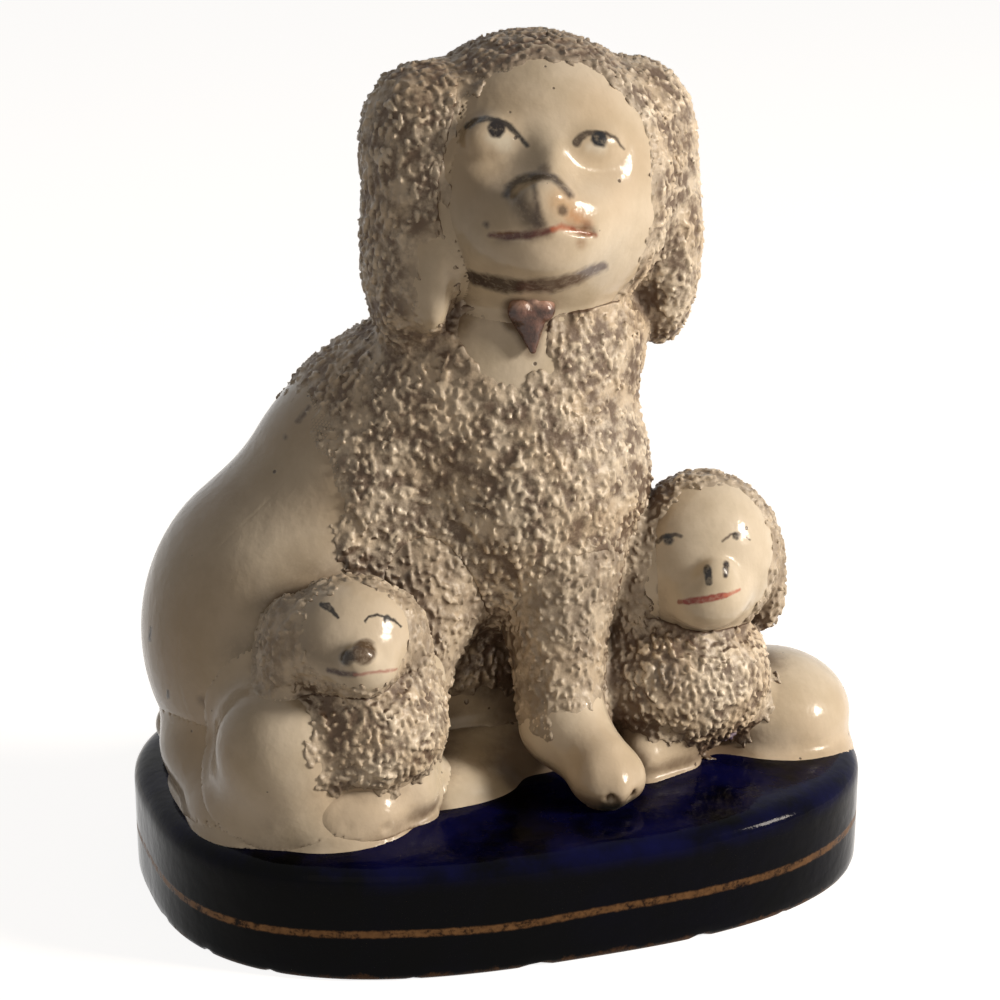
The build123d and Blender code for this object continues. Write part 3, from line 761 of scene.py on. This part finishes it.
head = thumbed(luted(1.4, thumbed(head_plain, eye_hollows, 2.4), *eyeballs), mouth_line, 0.5)
head_piece, figure = stuck_on(figure, head, 1.5)
head_seam = -2.5
for node, sign in (("mother_head_front", 1), ("mother_head_back", -1)):
    fitted(node, half_of(head_piece, head_seam, sign), head_white, cell=0.25)

# Her ears: two pressed lobes that hang from the crown. They are stuck on before the
# shredded clay, which hides all of the right one but the front edge of its lobe.
ears = {
    "right": luted(2.0, luted(3.0, egg((-10.6, -4.0, 69.2), (3.9, 5.8, 12.0), 4.0),
                              egg((-8.5, -3.0, 77.6), (5.5, 5.4, 6.3))),
                   egg((-9.7, -8.8, 64.2), (1.9, 2.4, 4.9))),
    "left": luted(3.0, egg((15.9, -2.2, 67.2), (4.0, 5.8, 12.4), -3.0),
                  egg((13.7, -2.0, 76.6), (5.0, 5.2, 6.4))),
}
for side, ear in ears.items():
    ear_piece, figure = stuck_on(figure, ear, 2.4)
    fitted(f"mother_ear_{side}", ear_piece, plain_white)

# Her forelegs: solid rolls from the chest to the ground. The left one ends in a smooth
# paw that reaches over the edge of the plinth, with toes nicked in by a tool.
right_leg = luted(6.0, roll((-12.0, -6.0, 30.0), 5.4, (-14.5, -11.0, 15.0), 4.2),
                  egg((-9.0, -4.6, 35.0), (8.0, 6.6, 8.0)))
left_leg = luted(6.0, roll((3.2, -8.4, 33.0), 5.4, (2.6, -12.2, 18.6), 3.9),
                 egg((3.6, -6.6, 37.0), (6.4, 6.6, 8.0)))
left_paw = luted(
    1.6, roll((2.9, -12.2, 18.6), 3.7, (4.6, -17.6, 16.0), 3.5),
    egg((3.4, -19.4, 14.8), (1.7, 2.1, 2.0)), egg((5.4, -20.2, 14.7), (1.6, 2.1, 2.1)),
    egg((7.3, -18.9, 14.9), (1.6, 2.1, 2.1)))
toe_nicks = luted(
    0.3, roll((4.2, -19.6, 17.2), 0.25, (4.5, -22.6, 12.8), 0.4),
    roll((6.3, -19.2, 17.2), 0.25, (6.6, -22.0, 12.9), 0.4))
left_paw = thumbed(left_paw, toe_nicks, 0.6)
forelegs = {"right": right_leg, "left": luted(2.5, left_leg, left_paw)}
leg_luting = {"right": 2.0, "left": 0.7}
# the tips of the toes are painted dark where they meet the plinth
paw_white = white_glaze("paw_white_glaze", [
    ((50, 52, 46), 0.9, 0.5, [
        (4.0, -21.2, 13.0, 0.6), (5.7, -22.0, 12.8, 0.9), (7.0, -21.2, 13.0, 0.6)]),
], front_only)
for side, leg in forelegs.items():
    leg_piece, figure = stuck_on(figure, leg, leg_luting[side])
    fitted(f"mother_foreleg_{side}", leg_piece, paw_white if side == "left" else plain_white)

# Her hind feet and tail: rolls laid round the rump on the pad, pressed down as soft
# lobes. The left foot and the tail lie behind her, out of the viewer's sight.
hind_feet = {
    "right": luted(3.0, egg((-28.3, -7.0, 13.8), (6.0, 8.0, 4.2)),
                   egg((-28.6, 0.0, 16.0), (7.0, 8.0, 6.0))),
    "left": roll((-14.0, 15.0, 14.0), 4.5, (-4.0, 17.5, 13.8), 4.0),
}
for side, foot in hind_feet.items():
    foot_piece, figure = stuck_on(figure, foot, 1.6)
    fitted(f"mother_hind_foot_{side}", foot_piece, plain_white)
tail_roll = roll((-31.4, 9.6, 14.6), 2.7, (-24.0, 17.5, 13.8), 2.2)
tail_piece, figure = stuck_on(figure, tail_roll, 1.5)
fitted("mother_tail", tail_piece, plain_white)

# The puppies: small solid figures stuck against her, one each side, with their own
# ears, a forepaw, and faces drawn with the same brush.
chests = {
    "left_puppy": egg((-18.0, -15.0, 22.3), (7.0, 5.8, 6.6)),
    "right_puppy": egg((16.5, -9.2, 21.0), (9.3, 7.3, 7.8)),
}
rumps = {
    "left_puppy": egg((-25.8, -13.2, 20.4), (7.2, 6.3, 7.0)),
    "right_puppy": egg((28.8, -5.0, 13.9), (8.4, 8.6, 6.5)),
}
puppy_lumps = {
    "left_puppy": {
        "body": luted(1.6, chests["left_puppy"], rumps["left_puppy"]),
        "head": luted(1.2, egg((-20.0, -14.8, 31.6), (6.5, 5.5, 5.8)),
                      egg((-19.9, -19.0, 30.2), (3.4, 2.9, 2.8)),
                      egg((-20.9, -21.2, 31.9), (1.5, 0.9, 1.2))),
        "ear_right": egg((-26.0, -13.0, 30.4), (2.2, 3.2, 5.2), 8.0),
        "ear_left": egg((-14.2, -14.4, 29.6), (2.2, 3.2, 5.2), -8.0),
        "forepaw": thumbed(
            luted(1.5, egg((-19.8, -16.2, 14.2), (4.6, 3.6, 2.5)),
                  egg((-14.4, -14.6, 14.6), (3.0, 3.2, 2.6))),
            luted(0.3, roll((-20.7, -15.0, 17.0), 0.3, (-22.3, -20.6, 13.4), 0.4),
                  roll((-16.7, -14.0, 17.0), 0.3, (-18.2, -19.6, 13.4), 0.4)), 1.0),
    },
    "right_puppy": {
        "body": luted(2.2, chests["right_puppy"], rumps["right_puppy"]),
        "head": luted(1.4, egg((18.7, -9.0, 33.6), (7.9, 6.9, 8.6)),
                      egg((17.4, -14.2, 31.4), (4.2, 3.6, 3.6)),
                      egg((17.2, -16.4, 33.9), (1.6, 1.0, 1.6))),
        "ear_right": egg((11.2, -9.0, 31.8), (2.3, 3.4, 7.0), 6.0),
        "ear_left": egg((26.0, -7.2, 31.2), (2.4, 3.4, 7.0), -6.0),
        "forepaw": roll((15.0, -11.8, 14.6), 2.6, (11.0, -13.2, 14.4), 2.5),
    },
}
puppy_strokes = {
    "left_puppy": [
        ((96, 74, 50), 0.55, 2.0, [(-25.4, -16.2, 32.0, 1.4), (-23.6, -18.4, 31.2, 0.8)]),
        (black, 0.95, 0.1, [
            (-23.5, -17.6, 36.3, 0.2), (-23.1, -18.2, 36.2, 0.38), (-22.7, -18.8, 35.9, 0.22),
            (-22.4, -19.3, 35.4, 0.14)]),
        (black, 0.95, 0.1, [
            (-19.9, -20.0, 35.0, 0.13), (-19.5, -19.8, 35.3, 0.12), (-18.7, -19.7, 35.4, 0.13),
            (-17.9, -19.6, 35.1, 0.13), (-17.1, -19.6, 34.7, 0.13), (-16.4, -19.8, 33.9, 0.1)]),
        (black, 0.95, 0.14, [(-17.8, -19.9, 34.95, 0.38)]),
        ((88, 66, 44), 0.95, 0.25, [(-20.5, -21.4, 32.5, 1.15)]),
        ((58, 44, 30), 0.92, 0.25, [(-21.9, -20.9, 32.0, 0.75)]),
        ((78, 48, 40), 0.92, 0.18, [
            (-23.6, -20.1, 30.6, 0.2), (-22.8, -21.1, 30.6, 0.28), (-21.7, -22.4, 30.7, 0.24)]),
        ((188, 136, 122), 0.85, 0.12, [
            (-21.7, -22.4, 30.7, 0.16), (-20.8, -22.7, 30.8, 0.16), (-19.6, -22.9, 30.9, 0.14),
            (-17.7, -22.4, 30.7, 0.12)]),
    ],
    "right_puppy": [
        ((58, 44, 34), 0.9, 0.12, [
            (12.3, -13.2, 37.1, 0.2), (12.8, -13.4, 37.6, 0.2), (13.8, -14.1, 38.0, 0.2),
            (14.3, -14.5, 37.8, 0.16)]),
        (black, 0.95, 0.2, [(13.2, -13.9, 37.4, 0.5)]),
        ((74, 56, 42), 0.85, 0.12, [
            (18.2, -15.9, 37.4, 0.1), (19.1, -15.7, 37.9, 0.12), (20.3, -15.6, 37.8, 0.12),
            (21.3, -15.6, 37.1, 0.09)]),
        (black, 0.95, 0.16, [(19.7, -15.7, 37.7, 0.38)]),
        (black, 1.0, 0.14, [(16.4, -16.1, 34.8, 0.36), (16.2, -17.0, 33.7, 0.36)]),
        ((48, 36, 26), 1.0, 0.16, [(18.3, -16.4, 35.1, 0.32), (18.0, -17.0, 34.2, 0.26)]),
        ((156, 62, 50), 0.95, 0.12, [
            (13.5, -16.4, 31.7, 0.22), (14.4, -17.6, 32.1, 0.34), (15.9, -18.2, 32.4, 0.34),
            (17.5, -18.4, 32.6, 0.28)]),
        ((200, 118, 96), 0.9, 0.12, [(17.5, -18.4, 32.6, 0.2), (19.3, -17.9, 32.8, 0.12)]),
    ],
}

# Shredded clay: strands pushed through a sieve, cut short and laid on thickly while wet.
# The glaze fills it partly, so the tips are pale; the gaps keep brown dirt and are painted
# darker for the shade that falls in them.
pale_clay = colour(244, 230, 208)
deep_clay = colour(224, 204, 176)
fringe_clay = colour(228, 213, 190)
gap_dirt_and_shade = colour(80, 56, 38)


def crust_material(name, stains=()):
    # stains are (colour, strength, softness, (x, y, z, radius))
    made, glaze = new_material(name)
    place = glaze.place_in_mm()
    patches = glaze.ramp(glaze.noise(place, 0.16, 4.0), 0.36, 0.66)
    fringe = glaze.ramp(glaze.noted("fringe"), 0.1, 1.0)
    shade = glaze.paint_over(patches, pale_clay, deep_clay)
    shade = glaze.paint_over(glaze.times(fringe, 0.8), shade, fringe_clay)
    grain = glaze.noise(place, 1.6, 4.0, 0.6)
    # the gaps between strands are painted dark: partly dirt, partly painted shade
    pits = glaze.ramp(glaze.plus(glaze.noted("proud"), glaze.times(grain, -0.35)), 0.24, -0.06)
    stained = glaze.ramp(glaze.noise(place, 0.42, 4.0, 0.6), 0.36, 0.60)
    stained = glaze.times(stained, glaze.minus(1.0, glaze.times(fringe, 0.7)))
    dirt_and_shade = glaze.times(pits, glaze.plus(0.24, glaze.times(stained, 0.66)))
    # the cap is painted darker toward its crown, from 80 to 85.5 mm up
    crown_darkening = glaze.times(glaze.ramp(glaze.height_of(place), 80.0, 85.5), 0.5)
    dirt_and_shade = glaze.plus(crown_darkening, glaze.times(dirt_and_shade, glaze.minus(1.0, crown_darkening)))
    shade = glaze.paint_over(dirt_and_shade, shade, gap_dirt_and_shade)
    # painted shade, with some dirt, in the creases and recesses round the crust
    shut_in = glaze.larger(glaze.noted("hollow"), glaze.noted("shut_in"))
    shut_in = glaze.times(glaze.ramp(shut_in, 0.4, 0.85), 0.8)
    shade = glaze.paint_over(shut_in, shade, gap_dirt_and_shade)
    for paint, strength, softness, (x, y, z, radius) in stains:
        cover = glaze.use_group(brush_stroke, {
            "Place": place, "From": (x, y, z), "To": (x, y, z), "From width": radius,
            "To width": radius, "Softness": softness,
        })["Cover"]
        shade = glaze.paint_over(glaze.times(cover, strength), shade, colour(*paint))
    glaze.fired(shade, glaze.plus(0.26, glaze.times(dirt_and_shade, 0.4)), glaze.bumped(grain, 0.12))
    return made


shredded = crust_material("shredded_clay")
puppy_clay = {
    "left_puppy": crust_material("left_puppy_clay", [
        ((74, 52, 36), 0.75, 0.9, (-22.4, -18.5, 18.6, 1.2)),
        ((74, 52, 36), 0.6, 0.9, (-19.6, -20.0, 17.8, 0.8)),
    ]),
    "right_puppy": crust_material("right_puppy_clay", [
        ((98, 88, 128), 0.85, 0.6, (20.6, -13.6, 15.2, 0.8)),
        ((74, 54, 38), 0.6, 1.2, (12.6, -15.8, 24.0, 1.6)),
        ((74, 54, 38), 0.5, 1.2, (24.6, -8.5, 20.5, 1.0)),
    ]),
}


def note_on(piece, name, values):
    # a number kept at each point of the mesh for the glaze to follow
    kept = piece.data.attributes.new(name, "FLOAT", "POINT")
    kept.data.foreach_set("value", np.clip(values, -2, 2).astype(np.float32))


def mesh_places(piece):
    places = np.empty(len(piece.data.vertices) * 3, np.float32)
    piece.data.vertices.foreach_get("co", places)
    return places.reshape(-1, 3) / mm


def clumps(x, y, z):
    # from -1 to 1: where the shredded clay was laid on thinly or heaped up
    return (np.sin(1.9 * x + 0.8 * z) * np.sin(1.6 * z - 1.1 * y + 0.6)
            + 0.6 * np.sin(3.3 * x - 1.7 * z + 2.0) * np.sin(2.9 * z + 2.1 * y)) / 1.6


def heaped(x, y, z):
    # how thickly it was laid on, mm
    return 0.16 + 0.11 * clumps(x, y, z)


def ragged(x, y, z):
    # how unevenly the edge of a crust was laid, mm
    return 0.6 * (np.sin(1.3 * x + 0.9 * z) + np.sin(2.1 * y - 1.7 * z + 1.0) * 0.7
                   + np.sin(2.9 * x - 1.1 * z + 2.0) * 0.5)


crust_margin = 1.9
crust_lap = 0.5
thin_border = 2.0
bare_border = 1.8
fringe_width = 2.4
bed_thickness = 0.12
bed_start = 0.06
strand_half_length = (0.05, 0.30)
strand_radius = (0.19, 0.29)
strand_fillet = 0.08
strand_room = 0.4
strand_lie = np.array((0.56, 0.0, -1.0))


def crust(node, under, home, bare, seed, cell=0.24, finish=shredded):
    # home is the form that carries the crust and under all the clay below it; bare
    # gives the smooth border that the crust thins out to and the border that it
    # shares with another crust, both negative where this crust belongs
    low = home.low - crust_margin
    high = home.high + crust_margin
    x, y, z = lattice(low, high, cell)
    skin = under.depth(x, y, z).astype(np.float32)
    border, rival = (part + 0 * skin for part in bare(x, y, z))
    swell = heaped(x, y, z)
    bed = (bed_thickness + swell) * np.clip(-border / thin_border, 0, 1) - bed_start
    edge = np.maximum(border, rival - crust_lap)
    grown = np.maximum(skin - bed, edge)
    throw = np.random.default_rng(seed)
    inner = (slice(2, -2),) * 3
    sites = np.argwhere((np.abs(skin[inner]) < 0.55 * cell) & (edge[inner] < -0.15)) + 2
    throw.shuffle(sites)
    taken = np.zeros(skin.shape, bool)
    origin = np.array(low)
    for i, j, k in sites:
        if taken[i, j, k]:
            continue
        reach = throw.integers(1, 3)
        taken[max(0, i - reach):i + reach + 1, max(0, j - reach):j + reach + 1,
              max(0, k - reach):k + reach + 1] = True
        # fewer, thinner and flatter strands near the border
        inland = min(1.0, -border[i, j, k] / bare_border)
        if throw.random() > 0.46 + 0.44 * inland:
            continue
        out = np.array((
            skin[i + 1, j, k] - skin[i - 1, j, k], skin[i, j + 1, k] - skin[i, j - 1, k],
            skin[i, j, k + 1] - skin[i, j, k - 1]))
        out /= np.linalg.norm(out) + 1e-6
        along = strand_lie - out * (strand_lie @ out) + throw.normal(0, 0.4, 3)
        along -= out * (along @ out)
        along /= np.linalg.norm(along) + 1e-6
        half = throw.uniform(*strand_half_length)
        thick = throw.uniform(*strand_radius) * (0.8 + 0.2 * inland)
        lift = swell[i, j, k] * inland
        middle = origin + cell * np.array((i, j, k)) + out * (lift - skin[i, j, k])
        start = middle + out * throw.uniform(0.0, 0.2) * inland - along * half
        end = middle + out * throw.uniform(0.0, 0.3) * inland + along * half
        first = np.maximum(0, np.floor(
            (np.minimum(start, end) - thick - strand_room - origin) / cell)).astype(int)
        last = np.minimum(skin.shape, np.ceil(
            (np.maximum(start, end) + thick + strand_room - origin) / cell).astype(int) + 1)
        block = tuple(slice(a, b) for a, b in zip(first, last))
        strand = roll(start, thick, end, thick * throw.uniform(0.7, 1.0)).depth(
            x[block[0]], y[:, block[1]], z[:, :, block[2]]).astype(np.float32)
        old = grown[block]
        close = np.clip(1 - np.abs(old - strand) / strand_fillet, 0, None)
        grown[block] = np.minimum(old, strand) - close * close * (strand_fillet / 4)
    points, faces = skinned(np.maximum(grown, -(skin + sunk)), low, cell)
    piece = set_in_place(new_piece(node, points, [faces], finish), node)
    places = mesh_places(piece)
    note_on(piece, "proud", under.depth(*places.T) - 0.7 * heaped(*places.T))
    note_on(piece, "fringe", 1 + bare(*places.T)[0] / fringe_width)


bib = roll((-3.5, -13.0, 59.5), 5.2, (-3.0, -13.0, 63.0), 5.0)
face_window = roll((0.6, -15.0, 66.0), 10.8, (1.2, -14.0, 76.0), 10.0)
lobe_edge = egg((-9.5, -11.0, 64.2), (1.9, 3.6, 4.7))
legs = luted(1.0, forelegs["right"], forelegs["left"])
head_and_ears = luted(1.0, head, ears["right"], ears["left"])


def nearest_of(lumps, x, y, z):
    # the depth in whichever lump a place is deepest in or nearest to
    return np.min([lump.depth(x, y, z) for lump in lumps], axis=0)


def mane_bare(x, y, z):
    behind = np.interp(z, (33.0, 45.0, 50.0, 55.0), (-20.3, -19.0, -20.3, -22.0)) - x
    hem = 19.5 - z
    smooth = -bib.depth(x, y, z)
    other = trunk_only.depth(x, y, z) - nearest_of((head_and_ears, legs), x, y, z)
    return np.maximum(np.maximum(behind, hem), smooth) + ragged(x, y, z), other


def cap_bare(x, y, z):
    smooth = -face_window.depth(x, y, z) + 0.5 * ragged(x, y, z)
    other = (ears["right"], ears["left"], trunk_only)
    return smooth, head.depth(x, y, z) - nearest_of(other, x, y, z)


def ear_bare(ear):
    def bare(x, y, z):
        other = ear.depth(x, y, z) - nearest_of((head, trunk_only), x, y, z)
        return -lobe_edge.depth(x, y, z) + 0.4 * ragged(x, y, z), other
    return bare


def leg_bare(leg, lowest):
    def bare(x, y, z):
        own = leg.depth(x, y, z)
        hem = np.maximum(lowest - z, own - left_paw.depth(x, y, z))
        hem = np.maximum(hem + 0.6 * ragged(x, y, z), own - 1.2)
        return hem, own - trunk_only.depth(x, y, z)
    return bare


mane_home = Clay(trunk_only.depth, (-27, -17, 17), trunk_only.high)
crust("mother_mane_coat", figure, mane_home, mane_bare, 11, cell=0.26)
crust("mother_cap_coat", figure, skull, cap_bare, 12)
for side, seed in (("right", 13), ("left", 14)):
    crust(f"mother_ear_{side}_coat", figure, ears[side], ear_bare(ears[side]), seed)
for side, leg, hem, seed in (("right", right_leg, 16.0, 15), ("left", left_leg, 18.4, 16)):
    crust(f"mother_foreleg_{side}_coat", figure, leg, leg_bare(leg, hem), seed)

# The puppies are pressed into the crust while it is wet, then get their own on cap and
# chest. Their faces are small, so the brush goes over them whichever way they turn.
puppy_cell = 0.26
puppy_crust_cell = 0.22
everywhere = -200.0
luting = {"head": 1.2, "ear_right": 1.6, "ear_left": 1.6, "forepaw": 1.6}
body_luting = {"left_puppy": 4.2, "right_puppy": 2.2}
for puppy in puppy_lumps:
    face_glaze = white_glaze(f"{puppy}_white_glaze", puppy_strokes[puppy], everywhere)
    for part in ("body", "head", "ear_right", "ear_left", "forepaw"):
        part_piece, figure = stuck_on(
            figure, puppy_lumps[puppy][part], luting.get(part, body_luting[puppy]))
        fitted(f"{puppy}_{part}", part_piece, face_glaze if part == "head" else plain_white,
               puppy_cell)

puppy_windows = {
    "left_puppy": egg((-20.3, -19.6, 33.4), (5.1, 7.0, 4.5)),
    "right_puppy": roll((17.3, -16.0, 31.6), 6.6, (18.1, -15.5, 36.2), 6.6),
}


def puppy_cap_bare(puppy):
    def bare(x, y, z):
        own = nearest_of(
            [puppy_lumps[puppy][part] for part in ("head", "ear_right", "ear_left")], x, y, z)
        smooth = -puppy_windows[puppy].depth(x, y, z) + 0.4 * ragged(x, y, z)
        return np.maximum(smooth, own - 1.2), own - chests[puppy].depth(x, y, z)
    return bare


def puppy_chest_bare(puppy, hem):
    def bare(x, y, z):
        lumps = puppy_lumps[puppy]
        own = chests[puppy].depth(x, y, z)
        smooth = np.maximum(
            own - lumps["forepaw"].depth(x, y, z), own - rumps[puppy].depth(x, y, z) - 1.8)
        smooth = np.maximum(smooth, hem - np.clip(0.5 * (x - 14), 0, 2.0) - z) + ragged(x, y, z)
        return np.maximum(smooth, own - 2.4), own - lumps["head"].depth(x, y, z)
    return bare


for puppy, seed, hem in (("left_puppy", 21, 16.6), ("right_puppy", 31, 15.2)):
    lumps = puppy_lumps[puppy]
    whole_head = luted(0.5, lumps["head"], lumps["ear_right"], lumps["ear_left"])
    crust(f"{puppy}_cap_coat", figure, whole_head, puppy_cap_bare(puppy), seed,
          puppy_crust_cell)
    chest = chests[puppy]
    chest_home = Clay(chest.depth, chest.low - (1.5, 0, 1), chest.high + (1.5, 0, 0))
    crust(f"{puppy}_chest_coat", figure, chest_home, puppy_chest_bare(puppy, hem), seed + 1,
          puppy_crust_cell, puppy_clay[puppy])

# The locket: a heart-shaped sprig pressed on below the collar, brown enamel with a
# pink upper edge.
brown_enamel, enamel = new_material("brown_enamel")
place = enamel.place_in_mm()
patch = enamel.ramp(enamel.noise(place, 0.9, 4.0), 0.35, 0.65)
shade = enamel.paint_over(patch, colour(70, 46, 36), colour(112, 76, 62))
upper_edge = enamel.times(enamel.ramp(enamel.height_of(place), 61.4, 62.4), 0.75)
shade = enamel.paint_over(upper_edge, shade, colour(198, 160, 140))
enamel.fired(shade, 0.22, enamel.bumped(enamel.noise(place, 1.4), 0.2))
heart = luted(
    0.25, egg((-1.6, -11.6, 61.4), (1.3, 1.0, 1.3)), egg((0.5, -11.8, 61.4), (1.3, 1.0, 1.3)),
    roll((-0.55, -11.0, 60.6), 1.8, (-0.6, -12.3, 57.6), 0.35),
    roll((-0.4, -12.4, 63.9), 0.35, (-0.5, -12.0, 62.4), 0.5))
locket_piece, figure = stuck_on(figure, heart, 0.3)
locket = fitted("mother_locket", locket_piece, brown_enamel, 0.12)

# Years on a shelf: dirt settles wherever the clay is hollow, and shade is painted there
# too, so every piece learns how shut in each of its points is, close by and a little further
# out.
outlooks = {"hollow": 1.6, "shut_in": 5.0}
for piece in [made for made in bpy.context.scene.objects if made.type == "MESH"]:
    if piece.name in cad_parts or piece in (table_top, plinth, locket):
        continue
    places = mesh_places(piece)
    normals = np.empty(len(places) * 3, np.float32)
    piece.data.vertices.foreach_get("normal", normals)
    for name, step in outlooks.items():
        ahead = places + step * normals.reshape(-1, 3)
        note_on(piece, name, 1 - figure.depth(*ahead.T) / step)
